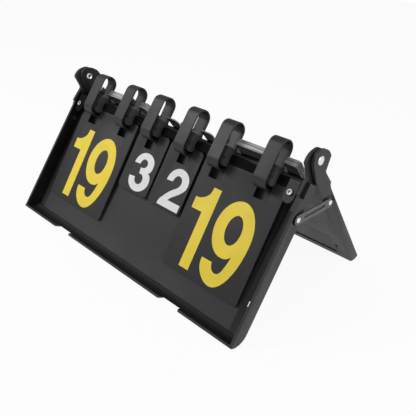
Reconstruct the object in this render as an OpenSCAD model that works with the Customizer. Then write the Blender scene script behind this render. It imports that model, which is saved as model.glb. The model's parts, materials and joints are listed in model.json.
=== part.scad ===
// Tabletop flip scoreboard: two equal shallow trays stand as an A-frame on a pair of hinge rivets.
// X runs across the board, Y to the back, Z up. The origin is the middle of the footprint, on the table.

/* [Stand] */
// Angle of each tray from the vertical
lean = 35.4; // [34.2:0.2:36.2]
// Distance from the middle of the stand to the outer edge of a foot
foot_half = 110; // [108:0.5:112]
// Half the width over the heads of the hinge rivets
half_w = 191.5; // [191.3:0.1:194]

/* [Trays] */
// Half the width of a tray over its side walls
wall_out = 189.6; // [189.4:0.1:189.7]
// Thickness of the side walls
wall_t = 3; // [2.6:0.1:3]
// Depth of a tray from its rim to its back
tray_deep = 15; // [14.6:0.1:15]
// Thickness of the tray floor
floor_t = 2.5; // [2.3:0.1:2.5]
// Upper end of the walls and the floor, measured up the slope
tray_top = 167.5; // [166:0.5:168]
// Radius of the round along the foot
foot_r = 15; // [14.8:0.1:15]
// Width of a notch in the bottom edge
notch_w = 30; // [24:1:34]
// Height of a notch in the bottom edge
notch_h = 3; // [2:0.2:3.4]
// Place of the notches to each side of the middle
notch_x = 100; // [90:1:115]

/* [Hinge ears] */
// Thickness of the ear that lies outside
outer_ear_t = 3.4; // [3:0.1:3.4]
// Thickness of the ear that lies inside
inner_ear_t = 3.5; // [3:0.1:3.5]
// Radius of the ear round its rivet
ear_r = 10.6; // [10:0.1:10.8]
// Radius of the rivet's shank
rivet_r = 2.55; // [2:0.05:3]

/* [Stays] */
// Height of the stay pins up the slope
pin_up = 132.4; // [131:0.2:133]
// Depth of the stay pins behind the rim
pin_deep = 8.9; // [8.4:0.1:9]
// Thickness of a stay
stay_t = 1; // [0.8:0.1:1]
// Half the height of a stay
stay_r = 5.2; // [5:0.1:5.4]

/* [Rings] */
// Outer radius of a ring's bends
ring_r = 9.9; // [9.8:0.1:10]
// Thickness of the strap that makes a ring
ring_t = 1.7; // [1.6:0.1:1.8]
// Width of the strap
ring_w = 16.6; // [15:0.2:16.8]
// Height of the centre of the lower bend up the slope
bend_up = 154.9; // [154.4:0.1:155]
// Height of both bends' centres over the rim
bend_over = 0.45; // [0.4:0.05:0.5]

/* [Cards] */
// Width of a large card
large_w = 109.5; // [106:0.5:110]
// Width of a small card
small_w = 52; // [48:0.5:53]
// Length of a large card
large_len = 123; // [118:0.5:124]
// Length of a small card
small_len = 73.5; // [70:0.5:80]
// Thickness of the card that shows in front
card_t = 0.55; // [0.45:0.05:0.55]
// Thickness of the large cards left behind it
large_rest_t = 1.3; // [0.9:0.1:1.3]
// Thickness of the small cards left behind it
small_rest_t = 0.4; // [0.3:0.05:0.4]
// Thickness of a large stack turned to the back
large_turned_t = 8; // [6:0.2:8]
// Thickness of a small stack turned to the back
small_turned_t = 1.5; // [1:0.1:3]

/* [Hidden] */
$fn = 64;
eps = 0.01;

// Hinge axis: it lies in both rim planes, right above the middle of the footprint
hinge_up = foot_half / sin(lean);
// The round foot is cut flat by a little where it stands, and the whole stand is raised to that flat
foot_cut = 0.15;
foot_lift = foot_r * (1 - cos(lean)) - foot_cut;
hinge_z = foot_lift + hinge_up * cos(lean);

// Walls and ears across the board
wall_in = wall_out - wall_t;
outer_ear_out = half_w - 0.9;
outer_ear_in = outer_ear_out - outer_ear_t;
washer_gap = 0.1;
washer_t = 0.7;
inner_ear_out = outer_ear_in - washer_gap - washer_t;
inner_ear_in = inner_ear_out - inner_ear_t;
hole_r = rivet_r + 0.05;

// Foot and floor
step_up = 9.5;
panel_low = 22;
panel_high = 63;
panel_half = 175;
panel_d = 1;

// Ears: a fan with its corner over the rim
fan_up = hinge_up - 5.9;
fan_r = 16.1;
ear_notch = hinge_up - 17.9;
ear_low = 149;
joggle_low = 137;
joggle_high = 151;

// Rail and its tabs
rail_low = 156.4;
rail_high = 165;
rail_front = -3;
rail_back = -6.8;
tab_x = 175.1;
tab_up = 152.4;
tab_r = 6.3;
tab_end = 148.2;
tab_top = 0;
tab_bottom = -6;
boss_r = 3.6;
screw_r = 1.4;

// Rings and blocks
ring_xs = [-143.5, -80.3, -28.5, 28.5, 80.3, 143.5];
ring_in = ring_r - ring_t;
block_w = 21;
block_low = 160.4;
block_high = 170.8;
block_front = 4.5;
boss_under_r = 4.3;
seam_up = 160.4;
seam_w = 0.5;
seam_d = 0.4;
crown_up = hinge_up - 1.5;

// Cards
large_x = 113.75;
small_x = 27.8;
card_top = bend_up + 0.5;
bridge = 4;
slot_len = 16.5;
slot_w = ring_w + 1.4;
large_tilt = 2.4;
small_tilt = 2.2;
large_deep = 4.4;
small_deep = 5.5;
rest_gap = 0.05;
turned_top = hinge_up - 6.7;
turned_gap = 0.3;
large_corner_r = 3;
small_corner_r = 5.5;

// Stays
pin_y = foot_half - pin_up * sin(lean) - pin_deep * cos(lean);
pin_z = foot_lift + pin_up * cos(lean) - pin_deep * sin(lean);
stay_in = wall_out + 0.2;
stay_out = stay_in + stay_t;
pin_r = 1.6;
pin_head_r = 2.8;
mouth_turn = 48;
pocket_d = 1.5;

plastic = [0.24, 0.24, 0.25];
strap_plastic = [0.28, 0.28, 0.29];
card_black = [0.2, 0.2, 0.21];
card_edge = [0.62, 0.62, 0.63];
steel = [0.8, 0.8, 0.82];
stay_grey = [0.4, 0.4, 0.41];

// Frames: x across, y up the tray's slope, z out of its rim plane
module front_frame() {
    translate([0, -foot_half, foot_lift]) rotate([90 - lean, 0, 0]) children();
}

module rear_frame() {
    rotate([0, 0, 180]) front_frame() children();
}

// A flat shape drawn as height up the slope and height over the rim, carried from x0 to x1
module across(x0, x1) {
    translate([x0, 0, 0]) rotate([90, 0, 90]) linear_extrude(x1 - x0) children();
}

// A box between two corners
module block_between(a, b) {
    translate(a) cube(b - a);
}

// Everything of a side view that lies above the table
module above_table() {
    far = 60;
    translate([-foot_lift / cos(lean), 0]) polygon([
        [-far * sin(lean), far * cos(lean)],
        [far * sin(lean), -far * cos(lean)],
        [300, -far * cos(lean)],
        [300, far * cos(lean)],
    ]);
}

// Side view of a tray's outside: the foot is a quarter round over the whole depth
module tray_outline() {
    intersection() {
        union() {
            translate([foot_r, -tray_deep]) square([tray_top - foot_r, tray_deep]);
            intersection() {
                translate([foot_r, 0]) circle(foot_r);
                translate([0, -tray_deep]) square([foot_r, tray_deep]);
            }
        }
        above_table();
    }
}

// Side view of a tray's hollow, open in front and at the top: the floor ends in a low step at the foot
module tray_hollow() {
    over = 20;
    inner_y = floor_t - tray_deep;
    translate([step_up, inner_y]) square([tray_top - step_up + over, tray_deep - floor_t + over]);
    intersection() {
        translate([foot_r, 0]) circle(foot_r - floor_t);
        translate([0, inner_y]) square([foot_r, tray_deep]);
    }
    translate([floor_t, 0]) square([foot_r, over]);
}

// Side view of an ear and of the plate that carries it, from the height low upwards
module ear_outline(low) {
    translate([hinge_up, 0]) circle(ear_r);
    intersection() {
        translate([fan_up, -2]) circle(fan_r);
        polygon([[ear_notch, 0], [ear_notch + 9.6, 15.4], [ear_notch + 9.6, 17.5], [hinge_up + 18, 17.5], [hinge_up + 18, 0]]);
    }
    polygon([
        [low, -tray_deep], [low, 0], [max(low, 152), 0], [153.2, 2], [ear_notch - 1, 0.5],
        [ear_notch + 2, 2], [hinge_up, 0], [hinge_up + 0.8, -10.6], [175.8, -tray_deep],
    ]);
}

// Outline of a bottom notch in the rim plane: one end slants, the other is short
module notch_outline() {
    polygon([
        [-notch_w / 2 - 3, -8], [-notch_w / 2 - 1.5, -1], [-notch_w / 2 + 2.5, notch_h],
        [notch_w / 2 - 1.5, notch_h], [notch_w / 2, notch_h - 1.5], [notch_w / 2, -8],
    ]);
}

// Outline of the shallow pocket round a stay's pin, in the outer face of a side wall
module pocket_outline() {
    polygon([
        [126.5, -9.5], [130, -12.8], [134, -tray_deep - 1], [146, -tray_deep - 1],
        [146, -12.8], [138, -3], [131, -1.2], [126.5, -2],
    ]);
}

module screw_boss(x) {
    translate([x, tab_up, floor_t - tray_deep - eps]) cylinder(r = boss_r, h = tray_deep - floor_t + tab_bottom + eps);
}

// One tray moulding, used twice: the outer ear is at its left end, the inner ear at its right end
module tray() {
    difference() {
        union() {
            difference() {
                across(-wall_out, wall_out) tray_outline();
                across(-wall_in, wall_in) tray_hollow();
                block_between([inner_ear_out + 0.1, joggle_high, -3], [wall_out + 1, tray_top + 1, 1]);
                block_between([-panel_half, panel_low, -tray_deep - 1], [panel_half, panel_high, panel_d - tray_deep]);
            }
            across(-outer_ear_out, -outer_ear_in) ear_outline(ear_low);
            across(inner_ear_in, inner_ear_out) ear_outline(joggle_low);
            block_between([inner_ear_in, joggle_low, -tray_deep], [wall_out, joggle_high, 0]);
            screw_boss(-tab_x);
            screw_boss(tab_x);
        }
        for (side = [-1, 1]) {
            translate([side * notch_x, 0, -9]) linear_extrude(12) notch_outline();
            translate([side * tab_x, tab_up, floor_t - tray_deep]) cylinder(r = screw_r + 0.05, h = 20);
            translate([side * 178.4 - 1.5, 38, -tray_deep - 1]) cube([3, 6, 10]);
        }
        across(wall_out - pocket_d, wall_out + 1) pocket_outline();
        across(-wall_out - 1, pocket_d - wall_out) pocket_outline();
        translate([-half_w - 1, hinge_up, 0]) rotate([0, 90, 0]) cylinder(r = hole_r, h = 2 * half_w + 2);
        translate([-half_w - 1, pin_up, -pin_deep]) rotate([0, 90, 0]) cylinder(r = pin_r + 0.05, h = 2 * half_w + 2);
    }
}

module front_tray() {
    color(plastic) front_frame() tray();
}

module rear_tray() {
    color(plastic) rear_frame() tray();
}

// A tubular rivet seen from the middle of the board outwards along +X
module hinge_rivet() {
    flare_t = 0.9;
    color(steel) translate([0, 0, hinge_z]) rotate([0, 90, 0]) difference() {
        union() {
            translate([0, 0, inner_ear_in - washer_gap - flare_t]) cylinder(r = 3.9, h = flare_t);
            translate([0, 0, inner_ear_in - washer_gap - eps]) cylinder(r = rivet_r, h = half_w - inner_ear_in + washer_gap);
            translate([0, 0, outer_ear_out]) cylinder(r = 4.6, h = half_w - outer_ear_out);
        }
        translate([0, 0, inner_ear_in - 4]) cylinder(r = 1.6, h = 9);
    }
}

module left_hinge_rivet() {
    mirror([1, 0, 0]) hinge_rivet();
}

module right_hinge_rivet() {
    hinge_rivet();
}

module washer(x) {
    translate([x, 0, hinge_z]) rotate([0, 90, 0]) difference() {
        cylinder(r = 7, h = washer_t);
        translate([0, 0, -1]) cylinder(r = hole_r, h = washer_t + 2);
    }
}

// On each side the washer lies against the front tray's ear
module hinge_washers() {
    color(steel) {
        washer(inner_ear_out);
        washer(-outer_ear_in);
    }
}

// Side view of a stay from its front pin: a slotted bar with an open hook at its far end
module stay_outline() {
    reach = 2 * pin_y;
    difference() {
        union() {
            circle(stay_r);
            translate([0, -stay_r]) square([reach, 2 * stay_r]);
            translate([reach, 0]) circle(stay_r);
        }
        circle(pin_r + 0.08);
        translate([9, -1.4]) square([reach - 18, 2.8]);
        translate([reach, 0]) circle(pin_r + 0.35);
        translate([reach, 0]) rotate(mouth_turn) polygon([
            [0, -pin_r - 0.35], [3, -pin_r - 0.35], [12, -pin_r - 4], [12, pin_r + 4], [3, pin_r + 0.6], [0, pin_r + 0.35],
        ]);
    }
}

module stay(x) {
    color(stay_grey) translate([x, -pin_y, pin_z]) rotate([90, 0, 90]) linear_extrude(stay_t) stay_outline();
}

module left_stay() {
    stay(-stay_out);
}

module right_stay() {
    stay(stay_in);
}

// A pin through the right-hand side wall, with a head outside the stay and a tail inside the wall
module stay_pin() {
    tail_t = 0.8;
    translate([wall_in - tail_t, 0, 0]) rotate([0, 90, 0]) {
        cylinder(r = 2.4, h = tail_t);
        cylinder(r = pin_r, h = half_w - wall_in + tail_t - eps);
        translate([0, 0, stay_out + 0.1 - wall_in + tail_t]) cylinder(r = pin_head_r, h = half_w - stay_out - 0.1);
    }
}

module front_stay_rivets() {
    color(steel) for (side = [0, 1]) mirror([side, 0, 0]) translate([0, -pin_y, pin_z]) stay_pin();
}

module rear_stay_studs() {
    color(steel) for (side = [0, 1]) mirror([side, 0, 0]) translate([0, pin_y, pin_z]) stay_pin();
}

module rail_tab(x) {
    difference() {
        union() {
            block_between([x - tab_r, tab_end, tab_bottom], [x + tab_r, rail_high, tab_top]);
            translate([x, tab_end, tab_bottom]) cylinder(r = tab_r, h = tab_top - tab_bottom);
        }
        translate([x, tab_up, tab_bottom - 1]) cylinder(r = screw_r + 0.1, h = tab_top - tab_bottom + 2);
    }
}

module ring_rail() {
    color(plastic) front_frame() {
        block_between([-tab_x - tab_r, rail_low, rail_back], [tab_x + tab_r, rail_high, rail_front]);
        rail_tab(-tab_x);
        rail_tab(tab_x);
    }
}

module rail_screw(x) {
    translate([x, tab_up, tab_top]) difference() {
        union() {
            cylinder(r = 3, h = 1.8);
            translate([0, 0, -8]) cylinder(r = screw_r, h = 8 + eps);
        }
        for (turn = [0, 90]) rotate(turn) translate([-1.8, -0.35, 0.9]) cube([3.6, 0.7, 1]);
    }
}

module rail_screws() {
    color(steel) front_frame() {
        rail_screw(-tab_x);
        rail_screw(tab_x);
    }
}

// The block that holds a ring on the rail, with a rounded nose under it for the cards' edges to turn round
module ring_block(i) {
    x0 = ring_xs[i] - block_w / 2;
    x1 = ring_xs[i] + block_w / 2;
    fit = 0.05;
    color(plastic) front_frame() difference() {
        union() {
            block_between([x0, block_low, bend_over - ring_in], [x1, block_high, block_front]);
            block_between([x0, bend_up, -4], [x1, block_low + eps, 3.4]);
            across(x0, x1) translate([bend_up, bend_over]) circle(boss_under_r);
        }
        block_between([x0 - 1, rail_low - fit, rail_back - fit], [x1 + 1, rail_high + fit, rail_front + fit]);
        for (x = [x0, x1]) block_between([x - seam_d, seam_up, -10], [x + seam_d, seam_up + seam_w, 10]);
    }
}

module ring_block_1() { ring_block(0); }
module ring_block_2() { ring_block(1); }
module ring_block_3() { ring_block(2); }
module ring_block_4() { ring_block(3); }
module ring_block_5() { ring_block(4); }
module ring_block_6() { ring_block(5); }

// Side view of a band with round ends: outer radius r
module long_round(r) {
    translate([bend_up, bend_over]) circle(r);
    translate([bend_up, bend_over - r]) square([crown_up - bend_up, 2 * r]);
    translate([crown_up, bend_over]) circle(r);
}

module ring(i) {
    color(strap_plastic) front_frame() across(ring_xs[i] - ring_w / 2, ring_xs[i] + ring_w / 2) difference() {
        long_round(ring_r);
        long_round(ring_in);
    }
}

module ring_1() { ring(0); }
module ring_2() { ring(1); }
module ring_3() { ring(2); }
module ring_4() { ring(3); }
module ring_5() { ring(4); }
module ring_6() { ring(5); }

// A card drawn flat, hanging down from y = 0, with a slot for each ring listed by its place across.
// A slot starts below the bridge, or at the card's upper edge where the bridge is left out.
module card_outline(w, len, r, slots, slot_top) {
    difference() {
        union() {
            translate([-w / 2 + r, -len]) square([w - 2 * r, len]);
            translate([-w / 2, -len + r]) square([w, len - 2 * r]);
            for (x = [-w / 2 + r, w / 2 - r], y = [-len + r, -r]) translate([x, y]) circle(r);
        }
        for (x = slots) translate([x - slot_w / 2, -bridge - slot_len]) square([slot_w, slot_len + bridge + slot_top]);
    }
}

// A card or a stack of cards: side is -1 for the left pair and 1 for the right pair
module large_card(side, t, slot_top = -bridge) {
    slots = [side * (ring_xs[4] - large_x), side * (ring_xs[5] - large_x)];
    linear_extrude(t) card_outline(large_w, large_len, large_corner_r, slots, slot_top);
}

module small_card(side, t, slot_top = -bridge) {
    linear_extrude(t) card_outline(small_w, small_len, small_corner_r, [side * (ring_xs[3] - small_x)], slot_top);
}

// Hangs a card in the front tray: its upper edge lies at the depth deep behind the rim, and it leans back
// by tilt towards its foot. Its front face stands back by a further behind.
module hung_in_front(x, deep, tilt, behind, t) {
    front_frame() translate([x, card_top, -deep]) rotate([tilt, 0, 0]) translate([0, 0, -behind - t]) children();
}

// Lays a turned stack on the floor of the rear tray
module hung_behind(x) {
    rear_frame() translate([-x, turned_top, floor_t + turned_gap - tray_deep]) children();
}

module large_front(side) {
    color(card_black) hung_in_front(side * large_x, large_deep, large_tilt, 0, card_t) large_card(side, card_t);
}

module small_front(side) {
    color(card_black) hung_in_front(side * small_x, small_deep, small_tilt, 0, card_t) small_card(side, card_t);
}

module large_rest(side) {
    color(card_edge) hung_in_front(side * large_x, large_deep, large_tilt, card_t + rest_gap, large_rest_t)
        large_card(side, large_rest_t);
}

module small_rest(side) {
    color(card_edge) hung_in_front(side * small_x, small_deep, small_tilt, card_t + rest_gap, small_rest_t)
        small_card(side, small_rest_t);
}

module large_turned(side) {
    color(card_edge) hung_behind(side * large_x) large_card(-side, large_turned_t, 1);
}

module small_turned(side) {
    color(card_edge) hung_behind(side * small_x) small_card(-side, small_turned_t, 1);
}

module left_large_card() { large_front(-1); }
module left_small_card() { small_front(-1); }
module right_small_card() { small_front(1); }
module right_large_card() { large_front(1); }
module left_large_rest() { large_rest(-1); }
module left_small_rest() { small_rest(-1); }
module right_small_rest() { small_rest(1); }
module right_large_rest() { large_rest(1); }
module left_large_turned() { large_turned(-1); }
module left_small_turned() { small_turned(-1); }
module right_small_turned() { small_turned(1); }
module right_large_turned() { large_turned(1); }

front_tray();
rear_tray();
left_hinge_rivet();
right_hinge_rivet();
hinge_washers();
left_stay();
right_stay();
front_stay_rivets();
rear_stay_studs();
ring_rail();
rail_screws();
ring_block_1();
ring_block_2();
ring_block_3();
ring_block_4();
ring_block_5();
ring_block_6();
ring_1();
ring_2();
ring_3();
ring_4();
ring_5();
ring_6();
left_large_card();
left_small_card();
right_small_card();
right_large_card();
left_large_rest();
left_small_rest();
right_small_rest();
right_large_rest();
left_large_turned();
left_small_turned();
right_small_turned();
right_large_turned();
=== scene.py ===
# %% [markdown]
# A flip scoreboard that folds shut like a case: two black trays on a pair of rivets, steel stays at the
# sides, and number cards that hang on six strap loops. The engineering model fixes every place and size.
# This lesson loads it, gives each part a softened and grained surface, and adds what only the eye needs:
# printed numerals, the single cards of a stack, and the domed heads of the rivets.

# %% Load the frame
import json
import math
import random

import bmesh
import bpy
from mathutils import Matrix, Vector


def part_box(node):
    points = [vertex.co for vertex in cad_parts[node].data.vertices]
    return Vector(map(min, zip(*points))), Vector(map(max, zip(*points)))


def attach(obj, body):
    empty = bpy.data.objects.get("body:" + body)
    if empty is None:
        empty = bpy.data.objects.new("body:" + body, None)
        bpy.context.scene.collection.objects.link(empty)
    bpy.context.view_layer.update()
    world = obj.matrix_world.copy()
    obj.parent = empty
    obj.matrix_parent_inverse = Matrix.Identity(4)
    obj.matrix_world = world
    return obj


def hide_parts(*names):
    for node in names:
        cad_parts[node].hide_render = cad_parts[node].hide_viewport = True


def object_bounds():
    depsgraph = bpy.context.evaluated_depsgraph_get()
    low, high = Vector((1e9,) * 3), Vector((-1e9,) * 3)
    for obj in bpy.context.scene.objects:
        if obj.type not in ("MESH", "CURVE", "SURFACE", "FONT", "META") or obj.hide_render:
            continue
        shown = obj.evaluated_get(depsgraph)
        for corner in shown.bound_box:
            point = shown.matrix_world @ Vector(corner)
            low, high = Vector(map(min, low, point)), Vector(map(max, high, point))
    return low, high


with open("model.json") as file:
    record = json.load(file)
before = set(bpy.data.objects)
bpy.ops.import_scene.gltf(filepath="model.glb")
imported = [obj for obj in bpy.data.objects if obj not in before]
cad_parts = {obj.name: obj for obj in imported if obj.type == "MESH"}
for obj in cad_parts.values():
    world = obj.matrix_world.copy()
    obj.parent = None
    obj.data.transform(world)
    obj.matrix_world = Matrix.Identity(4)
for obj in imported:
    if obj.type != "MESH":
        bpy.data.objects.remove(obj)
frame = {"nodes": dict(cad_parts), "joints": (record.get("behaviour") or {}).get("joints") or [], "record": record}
cad_low, cad_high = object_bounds()
mm = 0.001

# %% [markdown]
# Two working frames make the rest short. In the front frame x runs across, y runs up the slope of the
# tray and z comes out of its rim. The rear frame is the same one turned half round. Both follow from the
# hinge's height, the depth of the footprint and the height of the rim's lower tip, so nothing has to be
# measured twice.

# %% Frames of the two trays
fold = next(j for j in frame["joints"] if j["name"] == "rear_tray_fold")
hinge_z = fold["pos_m"][2]
foot_half = max(-cad_low.y, cad_high.y)
tip = min(frame["nodes"]["front_tray"].data.vertices, key=lambda v: v.co.y)
foot_lift = tip.co.z
lean = math.atan2(foot_half, hinge_z - foot_lift)
hinge_up = math.hypot(foot_half, hinge_z - foot_lift)
front_frame = Matrix.Translation((0, -foot_half, foot_lift)) @ Matrix.Rotation(math.pi / 2 - lean, 4, "X")
rear_frame = Matrix.Rotation(math.pi, 4, "Z") @ front_frame
print(f"lean {math.degrees(lean):.2f} degrees, hinge {hinge_up / mm:.2f} mm up the slope")

# %% [markdown]
# The camera stands off the right front corner, above the hinge, and looks down on the board. A slight
# roll keeps the picture's own tilt. The lens looks past the picture's middle, as in a cut-out of a wider
# picture, and the two shifts reproduce that. The place is given in real distances in the frame.

# %% Camera
camera_place = Vector((410.0, -343.3, 320.1)) * mm
camera_azimuth = math.radians(36.82)
camera_elevation = math.radians(30.0)
camera_roll = math.radians(4.97)
camera_data = bpy.data.cameras.new("camera")
camera_data.sensor_width = 36
camera_data.lens = 41.41
camera_data.shift_x = -0.1781
camera_data.shift_y = 0.0438
camera_data.clip_start = 0.01
camera = bpy.data.objects.new("camera", camera_data)
bpy.context.scene.collection.objects.link(camera)
camera.matrix_world = (
    Matrix.Translation(camera_place)
    @ Matrix.Rotation(camera_azimuth, 4, "Z")
    @ Matrix.Rotation(math.pi / 2 - camera_elevation, 4, "X")
    @ Matrix.Rotation(camera_roll, 4, "Z")
)
bpy.context.scene.camera = camera
bpy.context.scene.view_settings.view_transform = "Standard"
print("camera at", [round(c, 3) for c in camera_place])

# %% [markdown]
# A finish is a small network of nodes. Written as arithmetic it reads like a recipe, so a Wire wraps one
# socket and turns plus and times into Math nodes. A Finish fills a material, or the world, and makes
# every other node.

# %% Arithmetic on sockets
class Wire:
    """An output socket that takes part in arithmetic."""

    def __init__(self, finish, socket):
        self.finish = finish
        self.socket = socket

    def join(self, operation, first, second):
        return self.finish.node("ShaderNodeMath", {"operation": operation}, {0: first, 1: second})

    def __add__(self, other):
        return self.join("ADD", self, other)

    def __mul__(self, other):
        return self.join("MULTIPLY", self, other)

    __radd__ = __add__
    __rmul__ = __mul__


# places of the inputs and outputs that have no name of their own
share_in, mix_first, mix_second, mix_colour_out = 0, 6, 7, 2
value_in, from_low, from_high, to_low, to_high = range(5)
first_shader, second_shader = 1, 2


class Finish:
    """The nodes of a material or of the world, and the one way to add to them."""

    def __init__(self, owner):
        owner.use_nodes = True
        self.owner = owner
        self.tree = owner.node_tree
        self.tree.nodes.clear()

    def node(self, kind, settings=None, inputs=None, output=0):
        made = self.tree.nodes.new(kind)
        for key, value in (settings or {}).items():
            setattr(made, key, value)
        for key, value in (inputs or {}).items():
            if isinstance(value, Wire):
                self.tree.links.new(value.socket, made.inputs[key])
            else:
                made.inputs[key].default_value = value
        return Wire(self, made.outputs[output]) if made.outputs else None

    def noise(self, size, detail, stretch=(1, 1, 1), turn=0.0):
        """Noise with features about as large as size, in metres, on the piece's own coordinates."""
        place = self.node("ShaderNodeTexCoord", output="Object")
        at = self.node("ShaderNodeMapping", {}, {"Vector": place, "Rotation": (turn, 0, 0)})
        at = self.node("ShaderNodeMapping", {}, {"Vector": at, "Scale": stretch})
        return self.node("ShaderNodeTexNoise", {}, {"Vector": at, "Scale": 1 / size, "Detail": detail})

    def mix(self, share, first, second):
        """A colour between two, both given as red, green and blue or as wires."""
        parts = {share_in: share, mix_first: first, mix_second: second}
        for key in (mix_first, mix_second):
            if not isinstance(parts[key], Wire):
                parts[key] = (*parts[key], 1)
        return self.node("ShaderNodeMix", {"data_type": "RGBA"}, parts, output=mix_colour_out)

    def spread(self, wire, low, high):
        """Stretches a noise from its usual middle range to low and high, and clips it there."""
        usual_low, usual_high = 0.35, 0.65
        parts = {value_in: wire, from_low: usual_low, from_high: usual_high, to_low: low, to_high: high}
        return self.node("ShaderNodeMapRange", {"clamp": True}, parts)

    def bump(self, height, depth):
        return self.node("ShaderNodeBump", {}, {"Height": height, "Strength": 1.0, "Distance": depth})

    def shade(self, **inputs):
        """Ends the network in one Principled shader and returns its material."""
        named = {key.replace("_", " "): value for key, value in inputs.items()}
        shader = self.node("ShaderNodeBsdfPrincipled", {}, named)
        self.node("ShaderNodeOutputMaterial", {}, {"Surface": shader})
        return self.owner


def new_finish(name):
    return Finish(bpy.data.materials.new(name))


def wear_and_highlight_share(finish):
    """1 on the faces that the softening step marks for wear and painted highlight, and 0 elsewhere."""
    return finish.node("ShaderNodeAttribute", {"attribute_name": "wear_and_highlight"}, output="Fac")


print("sockets ready")

# %% [markdown]
# The trays are spark-grained black plastic: a fine even pebble that scatters light, so the panels read as
# a dark grey and not as black. The inner faces of the walls and the bend along the foot are darker still:
# they take a smoother plastic whose near-black colour is painted shade.
# Worn edges are paler, as wear and as a painted highlight along the softened creases. They take their
# place from a face attribute that the softening step writes. Each plastic is given by its colour, the
# colour of its worn and highlighted edges, the size and depth of its grain in metres, its roughness and
# its shine.

# %% Plastics of the case and the rings
lighter, darker = 1.22, 0.72


def grained_plastic(name, colour, wear_and_highlight, grain, depth, rough, shine=0.38):
    f = new_finish(name)
    cloud = f.noise(size=0.045, detail=4)
    pebble = f.noise(size=grain, detail=2)
    light = tuple(lighter * c for c in colour)
    dark = tuple(darker * c for c in colour)
    base = f.mix(f.spread(cloud, 0, 1), colour, light)
    base = f.mix(f.spread(pebble, 0, 0.35), base, dark)
    wear = f.spread(f.noise(size=0.012, detail=3), 0.35, 1.0)
    # Bevel faces turn paler: wear, and a painted highlight on the edges.
    base = f.mix(wear_and_highlight_share(f) * wear, base, wear_and_highlight)
    return f.shade(
        Base_Color=base,
        Roughness=f.spread(cloud, rough - 0.05, rough + 0.06),
        Specular_IOR_Level=shine,
        Normal=f.bump(pebble, depth),
    )


case_grain = grained_plastic(
    "case_grain", colour=(0.025, 0.025, 0.028), wear_and_highlight=(0.06, 0.06, 0.064),
    grain=0.0006, depth=0.00006, rough=0.56,
)
# The near-black of this plastic is painted shade: inner walls, the foot's bend, floor strips and rivet bores.
painted_shade_plastic = grained_plastic(
    "painted_shade_plastic", colour=(0.005, 0.005, 0.006), wear_and_highlight=(0.025, 0.025, 0.028),
    grain=0.0012, depth=0.00002, rough=0.52, shine=0.3,
)
# The rail's near-black is painted shade from the loops.
rail_painted_shade = grained_plastic(
    "rail_painted_shade", colour=(0.003, 0.003, 0.0034), wear_and_highlight=(0.02, 0.02, 0.022),
    grain=0.0012, depth=0.00002, rough=0.7, shine=0.06,
)
ring_plastic = grained_plastic(
    "ring_plastic", colour=(0.017, 0.017, 0.0195), wear_and_highlight=(0.04, 0.04, 0.043),
    grain=0.0008, depth=0.00004, rough=0.5,
)
# The blocks' paler colour is painted light on faces that stand in shade.
block_painted_light = grained_plastic(
    "block_painted_light", colour=(0.075, 0.075, 0.081), wear_and_highlight=(0.09, 0.09, 0.097),
    grain=0.0008, depth=0.00005, rough=0.55,
)
print("plastics:", *(m.name for m in (case_grain, painted_shade_plastic, rail_painted_shade, ring_plastic, block_painted_light)))

# %% [markdown]
# The cards are thin dark sheet with a matt print. Their cut edges are paler, and in a stack each edge
# differs a little, which gives the grey stripes behind the rings. The stripes come from noise that is
# long across the board and fine through the stack, turned to lie with the tray that carries the stack.
# The cards that rest behind the front ones have near-black edges instead, which is painted shade in the
# gaps of the pile.

# %% Cards, edges and print
def card_sheet():
    f = new_finish("card_sheet")
    cloud = f.noise(size=0.03, detail=4)
    tooth = f.noise(size=0.0005, detail=2)
    base = f.mix(f.spread(cloud, 0, 1), (0.0175, 0.0175, 0.019), (0.0235, 0.0235, 0.026))
    wear = f.spread(f.noise(size=0.006, detail=3), 0.2, 0.8)
    # Bevelled edges and corners turn paler: wear, and a painted highlight.
    base = f.mix(wear_and_highlight_share(f) * wear, base, (0.06, 0.06, 0.064))
    return f.shade(
        Base_Color=base,
        Roughness=f.spread(cloud, 0.5, 0.62),
        Specular_IOR_Level=0.35,
        Normal=f.bump(tooth, 0.00003),
    )


def stack_edge(name, turn, dark, pale):
    f = new_finish(name)
    stripes = f.noise(size=0.0016, detail=2, stretch=(0.02, 1, 1), turn=turn)
    cloud = f.noise(size=0.02, detail=3)
    base = f.mix(f.spread(stripes, 0, 1), dark, pale)
    base = f.mix(f.spread(cloud, 0, 0.3), base, dark)
    return f.shade(Base_Color=base, Roughness=f.spread(cloud, 0.38, 0.5), Specular_IOR_Level=0.5)


def print_ink(name, colour, deep):
    f = new_finish(name)
    weave = f.noise(size=0.0009, detail=2)
    cloud = f.noise(size=0.02, detail=4)
    base = f.mix(f.spread(cloud, 0, 1), colour, deep)
    base = f.mix(f.spread(weave, 0, 0.25), base, deep)
    return f.shade(
        Base_Color=base,
        Roughness=f.spread(cloud, 0.42, 0.52),
        Specular_IOR_Level=0.4,
        Normal=f.bump(weave, 0.00002),
    )


card_face = card_sheet()
pale_edge = stack_edge("pale_edge", turn=-lean, dark=(0.22, 0.22, 0.225), pale=(0.66, 0.66, 0.67))
# Near-black edges of the resting cards: painted shade in the gaps of the pile.
painted_shade_edge = stack_edge("painted_shade_edge", turn=lean, dark=(0.012, 0.012, 0.013), pale=(0.06, 0.06, 0.062))
yellow_ink = print_ink("yellow_ink", colour=(0.96, 0.75, 0.06), deep=(0.90, 0.68, 0.05))
white_ink = print_ink("white_ink", colour=(0.90, 0.90, 0.91), deep=(0.82, 0.82, 0.83))
print("card finishes:", *(m.name for m in (card_face, pale_edge, painted_shade_edge, yellow_ink, white_ink)))

# %% [markdown]
# The rivets and washers are bright plated steel with faint turning marks, the screws are darker, and the
# stays are dull strip with scratches along their length. On metal the roughness carries most of the look,
# so the noise goes there.

# %% Metals
dulled = 0.82


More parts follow.
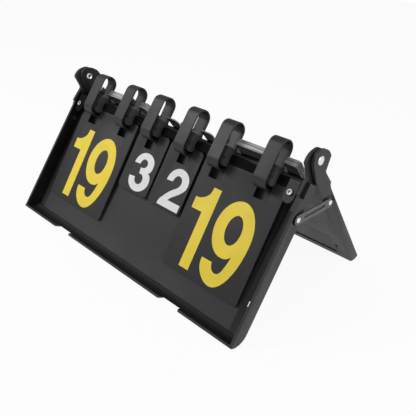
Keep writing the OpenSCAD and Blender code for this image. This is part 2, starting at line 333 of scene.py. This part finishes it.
def plated_steel(name, colour, rough, stretch=(1, 1, 1)):
    f = new_finish(name)
    marks = f.noise(size=0.0007, detail=3, stretch=stretch)
    cloud = f.noise(size=0.004, detail=4)
    base = f.mix(f.spread(cloud, 0, 1), colour, tuple(dulled * c for c in colour))
    return f.shade(
        Base_Color=base,
        Metallic=1.0,
        Roughness=f.spread(marks, rough - 0.06, rough + 0.12),
        Normal=f.bump(marks, 0.000012),
    )


bright_steel = plated_steel("bright_steel", colour=(0.83, 0.83, 0.84), rough=0.22)
screw_steel = plated_steel("screw_steel", colour=(0.34, 0.34, 0.35), rough=0.4)
stay_strip = plated_steel("stay_strip", colour=(0.13, 0.13, 0.135), rough=0.36, stretch=(1, 0.08, 1))
print("metals:", bright_steel.name, screw_steel.name, stay_strip.name)

# %% [markdown]
# Moulded and stamped parts never have knife edges. Each engineering part is copied, its loose triangles
# are welded and its flat faces joined, and every crease gets a tiny bevel. The bevel's faces are marked
# for wear and a painted highlight, and creases sharper than the limit stay crisp in the shading, so that
# flat faces stay flat.

# %% Softened copies
crease = math.radians(28)
shading_limit = math.radians(24)
flat_limit = math.radians(0.5)
weld_gap = 0.002 * mm


def finish_mesh(bm, name, body, materials, stands_for=()):
    """Makes a piece of a bmesh at the origin, rides it on its body and gives it its finishes."""
    mesh = bpy.data.meshes.new(name)
    bm.to_mesh(mesh)
    bm.free()
    for material in materials:
        mesh.materials.append(material)
    mesh.polygons.foreach_set("use_smooth", [True] * len(mesh.polygons))
    mesh.set_sharp_from_angle(angle=shading_limit)
    piece = bpy.data.objects.new(name, mesh)
    bpy.context.scene.collection.objects.link(piece)
    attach(piece, body)
    if stands_for:
        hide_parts(*stands_for)
    return piece


def welded(node):
    """The node's mesh as one skin: triangles merged, and flat faces made whole."""
    bm = bmesh.new()
    bm.from_mesh(frame["nodes"][node].data)
    bmesh.ops.remove_doubles(bm, verts=bm.verts, dist=weld_gap)
    bmesh.ops.dissolve_limit(bm, angle_limit=flat_limit, verts=bm.verts, edges=bm.edges)
    return bm


def soften(bm, width):
    """Bevels every crease and marks the new faces for wear and a painted highlight."""
    wear_and_highlight = bm.faces.layers.float.new("wear_and_highlight")
    sharp = [e for e in bm.edges if len(e.link_faces) == 2 and e.calc_face_angle() > crease]
    made = bmesh.ops.bevel(
        bm, geom=sharp, affect="EDGES", offset=width, offset_type="OFFSET", segments=2,
        profile=0.5, material=-1, clamp_overlap=True,
    )
    for face in made["faces"]:
        face[wear_and_highlight] = 1.0
    return len(sharp)


def body_of(node):
    return next(b for b, members in frame["record"]["behaviour"]["bodies"].items() if node in members)


def dress(node, material, width, second=None, pick=None):
    """A softened copy of a node that stands for it. The faces that pick names take a second finish."""
    bm = welded(node)
    count = soften(bm, width * mm)
    if second:
        for face in bm.faces:
            face.material_index = int(pick(face))
    finishes = [material, second] if second else [material]
    piece = finish_mesh(bm, node + "_skin", body_of(node), finishes, [node])
    print(f"{node}: {count} creases softened, {len(piece.data.polygons)} faces")


# %% [markdown]
# A tray takes two finishes. The inner faces of its side walls, the bend along its foot and a strip of
# floor beside each wall take a smooth near-black plastic, which is painted shade, while the panel and the
# outside are grained. The floor is cut along the strips, and then each face is sorted by where its middle
# lies in the tray's own frame.

# %% Trays
wall_inner = 186.9 * mm
# From here out to the wall, the floor takes painted shade.
strip_from = 170.8 * mm
floor_depth = -12.5 * mm
near = 0.2 * mm
foot_centre = Vector((15, 0)) * mm
foot_inner = 13.4 * mm
tray_bevel = 0.45
flat_facing, side_facing = 0.99, 0.7


def is_floor(face):
    middle = face.calc_center_median()
    return face.normal.z > flat_facing and abs(middle.z - floor_depth) < near


def painted_shade_zone(face):
    """1 for the inner zone of a tray that takes painted shade, 0 for its grained faces, in the tray's frame."""
    middle = face.calc_center_median()
    if abs(middle.x) > wall_inner:
        return 0
    beside_wall = abs(middle.x) > strip_from
    on_wall = beside_wall and abs(face.normal.x) > side_facing and middle.z > floor_depth - near
    on_strip = beside_wall and is_floor(face)
    from_foot = (Vector((middle.y, middle.z)) - foot_centre).length
    on_bend = from_foot < foot_inner and middle.y < foot_centre.x
    return int(on_wall or on_bend or on_strip)


for node, place in (("front_tray", front_frame), ("rear_tray", rear_frame)):
    bm = welded(node)
    soften(bm, tray_bevel * mm)
    bm.transform(place.inverted())
    bm.normal_update()
    for side in (-1, 1):
        faces = [f for f in bm.faces if is_floor(f)]
        edges = list({e for f in faces for e in f.edges})
        geom = faces + edges + list({v for f in faces for v in f.verts})
        bmesh.ops.bisect_plane(bm, geom=geom, plane_co=(side * strip_from, 0, 0), plane_no=(1, 0, 0))
    bm.normal_update()
    for face in bm.faces:
        face.material_index = painted_shade_zone(face)
    bm.transform(place)
    bm.normal_update()
    finishes = [case_grain, painted_shade_plastic]
    skin = finish_mesh(bm, node + "_skin", body_of(node), finishes, [node])
    print(node, "faces:", len(skin.data.polygons))

# %% [markdown]
# The rail, the blocks and the straps are plain mouldings, and the stays and pins plain metal. They all
# take the softening step, each with a bevel that suits its size. The rail is painted as black as the wall
# beside it, as shade from the loops. Only its right tab, which stands in the light, keeps the grained
# plastic of the case. The blocks take a paler plastic, which is painted light on faces that stand in shade.

# %% Rail, blocks, straps and small metal parts
tab_from = 168 * mm
strap_bevel, block_bevel, screw_bevel, stay_bevel = 0.35, 0.4, 0.12, 0.18
# All of the rail but its right tab takes painted shade.
dress(
    "ring_rail", rail_painted_shade, strap_bevel,
    second=case_grain, pick=lambda face: face.calc_center_median().x > tab_from,
)
for i in range(1, 7):
    dress(f"ring_block_{i}", block_painted_light, block_bevel)
    dress(f"ring_{i}", ring_plastic, strap_bevel)
dress("rail_screws", screw_steel, screw_bevel)
dress("left_stay", stay_strip, stay_bevel)
dress("right_stay", stay_strip, stay_bevel)

# %% [markdown]
# A rivet's head is pressed to a low dome and a tube rivet's tail is rolled back on itself. Both are
# turned shapes, so an outline is spun round the pin's axis. The outline is given as pairs of length along
# the pin and radius, and stays inside the plain head of the engineering part. The bore of the tube takes
# the near-black plastic of the trays, as painted shade.

# %% Turned rivets
spin_weld = 0.001 * mm


def lathe(bm, outline, centre, steps=40):
    """Spins an outline of (along x, radius) pairs round the x axis through a centre, closed on the axis."""
    corners = [bm.verts.new(centre + Vector((along, 0, radius))) for along, radius in outline]
    edges = [bm.edges.new(pair) for pair in zip(corners, corners[1:])]
    bmesh.ops.spin(
        bm, geom=corners + edges, cent=centre, axis=(1, 0, 0), dvec=(0, 0, 0),
        angle=2 * math.pi, steps=steps, use_merge=True, use_duplicate=False,
    )


def dome(start, end, radius, steps=8):
    """Outline of a low dome from its rim at start to its crown at end, along the x axis."""
    quarter_turns = [a * math.pi / 2 / steps for a in range(steps + 1)]
    return [(start + (end - start) * math.sin(t), radius * math.cos(t)) for t in quarter_turns]


def turned_piece(name, outlines, body, node, is_bore=None):
    """Outlines spun about their centres as one steel piece. The faces that is_bore names take painted shade."""
    bm = bmesh.new()
    for outline, centre in outlines:
        lathe(bm, outline, centre)
    bmesh.ops.remove_doubles(bm, verts=bm.verts, dist=spin_weld)
    bmesh.ops.recalc_face_normals(bm, faces=bm.faces)
    if is_bore:
        for face in bm.faces:
            face.material_index = int(is_bore(face))
    finishes = [bright_steel, painted_shade_plastic] if is_bore else [bright_steel]
    finish_mesh(bm, name, body, finishes, [node])
    print(name, "turned")


hinge_point = Vector((0, 0, hinge_z))
head_deep, head_under_r, head_r, head_rim = 0.9 * mm, 4.6 * mm, 4.55 * mm, 0.25 * mm
tube_r, bore_r, bore_deep, mouth_deep = 2.5 * mm, 1.6 * mm, 8 * mm, 0.5 * mm
slack = 0.1 * mm
roll_half, roll_r, roll_wide, roll_steps = 0.45 * mm, 3.3 * mm, 0.6 * mm, 8
for side, node in ((-1, "left_hinge_rivet"), (1, "right_hinge_rivet")):
    low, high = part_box(node)
    outer = max(abs(low.x), abs(high.x))
    inner = min(abs(low.x), abs(high.x))
    seat = outer - head_deep
    bore_end = inner + bore_deep
    head = [(seat, 0.0), (seat, head_under_r)] + dome(seat + head_rim, outer, head_r)
    half_turns = [t * math.pi / roll_steps for t in range(roll_steps + 1)]
    roll = [
        (inner + roll_half + roll_half * math.cos(t), roll_r + roll_wide * math.sin(t))
        for t in half_turns
    ]
    tube = [(seat, tube_r)] + roll + [(inner + mouth_deep, bore_r), (bore_end, bore_r), (bore_end, 0.0)]
    outlines = [([(side * along, radius) for along, radius in shape], hinge_point) for shape in (head, tube)]

    # The faces of the bore take painted shade.
    def is_bore(face):
        off = face.calc_center_median() - hinge_point
        return math.hypot(off.y, off.z) < bore_r + slack and abs(off.x) < bore_end + slack

    turned_piece(node + "_turned", outlines, "front", node, is_bore)

# %% [markdown]
# The pins of the stays have a low head outside and a flat tail inside the wall. Both ends of the board
# are one piece here, as they are one node in the engineering model. The washers between the ears are only
# softened.

# %% Pins of the stays, and washers
pin_head_deep, pin_head_under_r, pin_head_r, pin_head_rim = 0.6 * mm, 2.75 * mm, 2.7 * mm, 0.15 * mm
pin_r, tail_at, tail_deep, tail_r, tail_rim_r = 1.5 * mm, 185.8 * mm, 0.8 * mm, 2.2 * mm, 2.4 * mm
tail_end = tail_at + tail_deep
for node, body in (("front_stay_rivets", "front"), ("rear_stay_studs", "rear")):
    low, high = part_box(node)
    centre = Vector((0, (low.y + high.y) / 2, (low.z + high.z) / 2))
    seat = high.x - pin_head_deep
    shape = [(tail_at, 0.0), (tail_at, tail_r), (tail_end, tail_rim_r), (tail_end, pin_r)]
    shape += [(seat, pin_r), (seat, pin_head_under_r)] + dome(seat + pin_head_rim, high.x, pin_head_r)
    outlines = [([(side * along, radius) for along, radius in shape], centre) for side in (-1, 1)]
    turned_piece(node + "_turned", outlines, body, node)
dress("hinge_washers", bright_steel, screw_bevel)

# %% [markdown]
# The cards that show are softened copies with a fine bevel. The stacks are more work: each solid block
# stands for a pile, so a copy of it is flattened to one thin sheet, and the sheet is repeated through the
# block's thickness. Each sheet but the first slips a little across and down, by a seeded draw, as loose
# cards do. The few cards left behind the ones that show are made in the same way, in the leaning plane of
# their card. A stack is given as its count of sheets, the thickness of one and the most that it slips.

# %% Cards and stacks
sides = ("left_large", "left_small", "right_small", "right_large")
card_top = 155.4 * mm
tilts = {"large": math.radians(2.4), "small": math.radians(2.2)}
depths = {"large": 4.4 * mm, "small": 5.5 * mm}
card_bevel = 0.08
edge_limit = 0.5
ink_sink = 0.03 * mm
shuffle = random.Random(19)


def card_plane(side):
    """A front card's frame: its origin is the middle of the card's upper edge, on its face."""
    size = side.split("_")[1]
    low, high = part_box(side + "_card")
    top = Matrix.Translation(((low.x + high.x) / 2, card_top, -depths[size]))
    return front_frame @ top @ Matrix.Rotation(tilts[size], 4, "X")


def sheet_stack(node, place, materials, count, thickness, slip):
    """Repeats a node's outline as sheets through its thickness, and returns where its outer face lies."""
    bm = welded(node)
    bm.transform(place.inverted())
    low = min(v.co.z for v in bm.verts)
    high = max(v.co.z for v in bm.verts)
    mid = (low + high) / 2
    pitch = (high - low) / count
    for vert in bm.verts:
        vert.co.z = mid + (vert.co.z - mid) * thickness / (high - low)
    soften(bm, card_bevel * mm)
    first = list(bm.verts) + list(bm.edges) + list(bm.faces)
    for i in range(1, count):
        made = bmesh.ops.duplicate(bm, geom=first)["geom"]
        verts = [g for g in made if isinstance(g, bmesh.types.BMVert)]
        shift = (shuffle.uniform(-slip, slip), shuffle.uniform(-slip, 0), low + (i + 0.5) * pitch - mid)
        bmesh.ops.translate(bm, verts=verts, vec=shift)
    lowest = [g for g in first if isinstance(g, bmesh.types.BMVert)]
    bmesh.ops.translate(bm, verts=lowest, vec=(0, 0, low + 0.5 * pitch - mid))
    face_out = max(v.co.z for v in bm.verts) - ink_sink
    for face in bm.faces:
        face.material_index = int(abs(face.normal.z) < edge_limit)
    bm.transform(place)
    bm.normal_update()
    piece = finish_mesh(bm, node + "_sheets", body_of(node), materials, [node])
    print(f"{node}: {count} sheets, {len(piece.data.polygons)} faces")
    return face_out


rest_stacks = {"large": (3, 0.4 * mm, 0.25 * mm), "small": (1, 0.4 * mm, 0.25 * mm)}
turned_stacks = {"large": (12, 0.52 * mm, 0.3 * mm), "small": (3, 0.42 * mm, 0.3 * mm)}
faces_out = {}
for side in sides:
    size = side.split("_")[1]
    dress(side + "_card", card_face, card_bevel)
    sheet_stack(side + "_rest", card_plane(side), [card_face, painted_shade_edge], *rest_stacks[size])
    faces_out[side] = sheet_stack(side + "_turned", rear_frame, [card_face, pale_edge], *turned_stacks[size])

# %% [markdown]
# The numerals are printed shapes with even strokes. Each one is a closed outline of a few points. A point
# says how the line runs through it: level, upright, along a given slope, or straight to the next point.
# At the flat end of a stroke a point says it twice, once for the line that comes in and once for the line
# that goes out. Quarter rounds then follow from the points alone, as with a compass. The outline becomes
# a flat filled curve, then a thin mesh, and then goes to its place on the card.

# %% Outlines of the numerals
level, upright, corner = (1, 0), (0, 1), None
round_share = 0.55
slope_share = 0.36

one_outline = [[
    (14.7, 0, corner), (14.7, 92.3, corner), (3.2, 92.3, corner, (-0.1, -1)), (2.2, 86, (-0.3, -1)),
    (-4.5, 78.6, (-1, -0.55)), (-16.3, 75.6, level, corner), (-16.3, 62.6, corner), (0, 62.6, corner),
    (0, 0, corner),
]]
nine_outline = [
    [
        (1.6, 23.8, (0.12, 1), corner), (16.4, 23.8, corner, (0.1, -1)), (25, 14.7, level),
        (33, 22, (0.3, 1)), (36.6, 38, (0.1, 1), (-0.6, -0.7)), (23, 32.2, level), (0, 62.5, upright),
        (26.2, 95, level), (52, 57.5, upright), (24.6, 0, level),
    ],
    [(26, 79.7, level), (36.4, 63.3, upright), (26, 47.2, level), (15.4, 63.3, upright)],
]
three_outline = [[
    (0.4, 33.2, upright, corner), (10.2, 33.8, corner, upright), (16.4, 41.3, level), (22.8, 35.6, upright),
    (16, 30, level), (13.6, 30, level, corner), (14.6, 22.4, corner, level), (17.6, 22.4, level),
    (24.2, 15.6, upright), (17.8, 9, level), (10.3, 16.6, upright, corner), (0.4, 15.8, corner, upright),
    (17.6, 0, level), (35.9, 15.2, upright), (29.2, 26.6, (-0.9, 0.4), (0.8, 0.5)), (33.2, 36.3, upright),
    (17.4, 49.6, level),
]]
two_outline = [[
    (0.4, 30.4, upright, corner), (10.4, 31, corner, upright), (17, 39.6, level), (23.8, 33.2, upright),
    (17, 23.2, (-0.85, -0.6)), (5.6, 12, (-0.6, -0.8)), (0.2, 0, upright, corner), (34.6, 0, corner),
    (34.6, 9, corner), (14, 9, corner, (0.5, 0.7)), (20.4, 15.4, (0.75, 0.55)), (29, 22.4, (0.7, 0.7)),
    (34.2, 33.8, upright), (17.2, 48.2, level),
]]


def handle(here, there, run):
    """The control point that leaves one outline point for the next."""
    step = Vector(there[:2]) - Vector(here[:2])
    if run is corner:
        return Vector(here[:2]) + step / 3
    if run == level:
        return Vector(here[:2]) + Vector((round_share * step.x, 0))
    if run == upright:
        return Vector(here[:2]) + Vector((0, round_share * step.y))
    way = Vector(run).normalized()
    if way.dot(step) < 0:
        way.negate()
    return Vector(here[:2]) + way * step.length * slope_share


def box_fit(outlines, left, bottom, width, height):
    """The move that lays the outlines' own box on a box of a card, in millimetres."""
    xs = [point[0] for outline in outlines for point in outline]
    ys = [point[1] for outline in outlines for point in outline]
    across = width / (max(xs) - min(xs))
    upward = height / (max(ys) - min(ys))
    at = Matrix.Translation((left - across * min(xs), bottom - upward * min(ys), 0))
    return at @ Matrix.Diagonal((across, upward, 1, 1))


ink_thick = 0.12
weld_step = 0.001


def numeral(name, outlines, place, body, material):
    """Fills closed outlines in millimetres and lays them on a card face."""
    curve = bpy.data.curves.new(name, "CURVE")
    curve.dimensions = "2D"
    curve.fill_mode = "BOTH"
    curve.extrude = ink_thick / 2
    curve.resolution_u = 10
    for outline in outlines:
        spline = curve.splines.new("BEZIER")
        spline.bezier_points.add(len(outline) - 1)
        spline.use_cyclic_u = True
        for i, point in enumerate(spline.bezier_points):
            before, here, after = outline[i - 1], outline[i], outline[(i + 1) % len(outline)]
            point.co = (*here[:2], 0)
            point.handle_left_type = point.handle_right_type = "FREE"
            point.handle_left = (*handle(here, before, here[2]), 0)
            point.handle_right = (*handle(here, after, here[-1]), 0)
    holder = bpy.data.objects.new(name + "_curve", curve)
    bpy.context.scene.collection.objects.link(holder)
    bpy.context.view_layer.update()
    flat = bpy.data.meshes.new_from_object(holder.evaluated_get(bpy.context.evaluated_depsgraph_get()))
    bpy.data.objects.remove(holder)
    bm = bmesh.new()
    bm.from_mesh(flat)
    bmesh.ops.remove_doubles(bm, verts=bm.verts, dist=weld_step)
    bmesh.ops.recalc_face_normals(bm, faces=bm.faces)
    bm.transform(place)
    piece = finish_mesh(bm, name, body, [material])
    print(f"{name}: {len(piece.data.polygons)} faces")


# %% [markdown]
# A card's own frame has its middle top edge as origin, so a numeral only needs the box that it fills on
# the card: left, bottom, width and height in millimetres. The photo doesn't show the back. There the
# cards are taken to be printed as well, so the outermost card of each turned stack carries its number.

# %% Numerals on the cards
numbers = {
    "left_large": [
        ("one", one_outline, (-45.1, -117.2, 29.1, 88.9)),
        ("nine", nine_outline, (-7.3, -119.8, 50.5, 91)),
    ],
    "left_small": [("three", three_outline, (-13.2, -71.0, 34.6, 46.1))],
    "right_small": [("two", two_outline, (-10.4, -71.1, 33.7, 45.8))],
    "right_large": [
        ("one", one_outline, (-46, -117.1, 29.3, 88.7)),
        ("nine", nine_outline, (-7.9, -119.8, 49.4, 91)),
    ],
}
to_metres = Matrix.Scale(mm, 4)
for side in sides:
    ink = yellow_ink if "large" in side else white_ink
    turned = frame["nodes"][side + "_turned"].data.vertices
    turned_top = max((rear_frame.inverted() @ v.co).y for v in turned)
    low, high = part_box(side + "_turned")
    middle = (low.x + high.x) / 2
    back = rear_frame @ Matrix.Translation((-middle, turned_top, faces_out[side]))
    for word, outlines, box in numbers[side]:
        fitted = to_metres @ box_fit(outlines, *box)
        numeral(f"{side}_{word}", outlines, card_plane(side) @ fitted, side + "_top", ink)
        numeral(f"{side}_{word}_back", outlines, back @ fitted, side + "_back", ink)

# %% [markdown]
# The stage is a wide pale floor under soft light. The camera sees the floor and the sky as white, through
# the light path. Reflections see the floor as white, but the sky at its plain strength. The object keeps
# a plain level of light: a near key from the upper left, so that the right half of the board is a little
# darker, a weaker fill from the right, and a little light from the sky.

# %% Floor and sky
floor_half = 4
white_share = 0.93
sky_light = 0.42

bm = bmesh.new()
bmesh.ops.create_grid(bm, x_segments=1, y_segments=1, size=floor_half)
floor_mesh = bpy.data.meshes.new("floor")
bm.to_mesh(floor_mesh)
bm.free()
floor = bpy.data.objects.new("floor", floor_mesh)
bpy.context.scene.collection.objects.link(floor)


def ray_tests(finish, kinds):
    """For each kind of ray a wire that is 1 for such a ray and 0 for others."""
    return [finish.node("ShaderNodeLightPath", output=f"Is {kind} Ray") for kind in kinds]


paper = new_finish("floor_paper")
rays = ray_tests(paper, ("Camera", "Glossy", "Transmission"))
matt = paper.node("ShaderNodeBsdfDiffuse", {}, {"Color": (0.9, 0.9, 0.9, 1)})
white = paper.node("ShaderNodeEmission", {}, {"Color": (1, 1, 1, 1), "Strength": 1.0})
share = (rays[0] + rays[1] + rays[2]) * white_share
mixed = paper.node("ShaderNodeMixShader", {}, {share_in: share, first_shader: matt, second_shader: white})
paper.node("ShaderNodeOutputMaterial", {}, {"Surface": mixed})
floor.data.materials.append(paper.owner)

bpy.context.scene.world = bpy.data.worlds.new("studio")
sky = Finish(bpy.context.scene.world)
rays = ray_tests(sky, ("Camera", "Transmission"))
seen = sky.node("ShaderNodeMath", {"operation": "MAXIMUM"}, {0: rays[0], 1: rays[1]})
strength = sky.node("ShaderNodeMapRange", {}, {value_in: seen, to_low: sky_light, to_high: 1.0})
backing = sky.node("ShaderNodeBackground", {}, {"Color": (1, 1, 1, 1), "Strength": strength})
sky.node("ShaderNodeOutputWorld", {}, {"Surface": backing})
print("floor and sky ready")

# %% [markdown]
# A lamp is soft when it is large for its distance. Each one is turned so that its own downward axis
# points at the middle of the stand, halfway up to the hinge.

# %% Lamps
def lamp(name, place, aim, size, power):
    """A square soft lamp at a place, facing a point."""
    data = bpy.data.lights.new(name, "AREA")
    data.size = size
    data.energy = power
    made = bpy.data.objects.new(name, data)
    bpy.context.scene.collection.objects.link(made)
    made.location = place
    made.rotation_mode = "QUATERNION"
    made.rotation_quaternion = (Vector(aim) - Vector(place)).to_track_quat("-Z", "Y")


stand_middle = Vector((0, 0, hinge_z / 2))
lamp("key", place=(-0.66, -0.58, 0.8), aim=stand_middle, size=0.4, power=5.4)
lamp("fill", place=(0.85, 0.12, 0.3), aim=stand_middle, size=0.4, power=2.3)
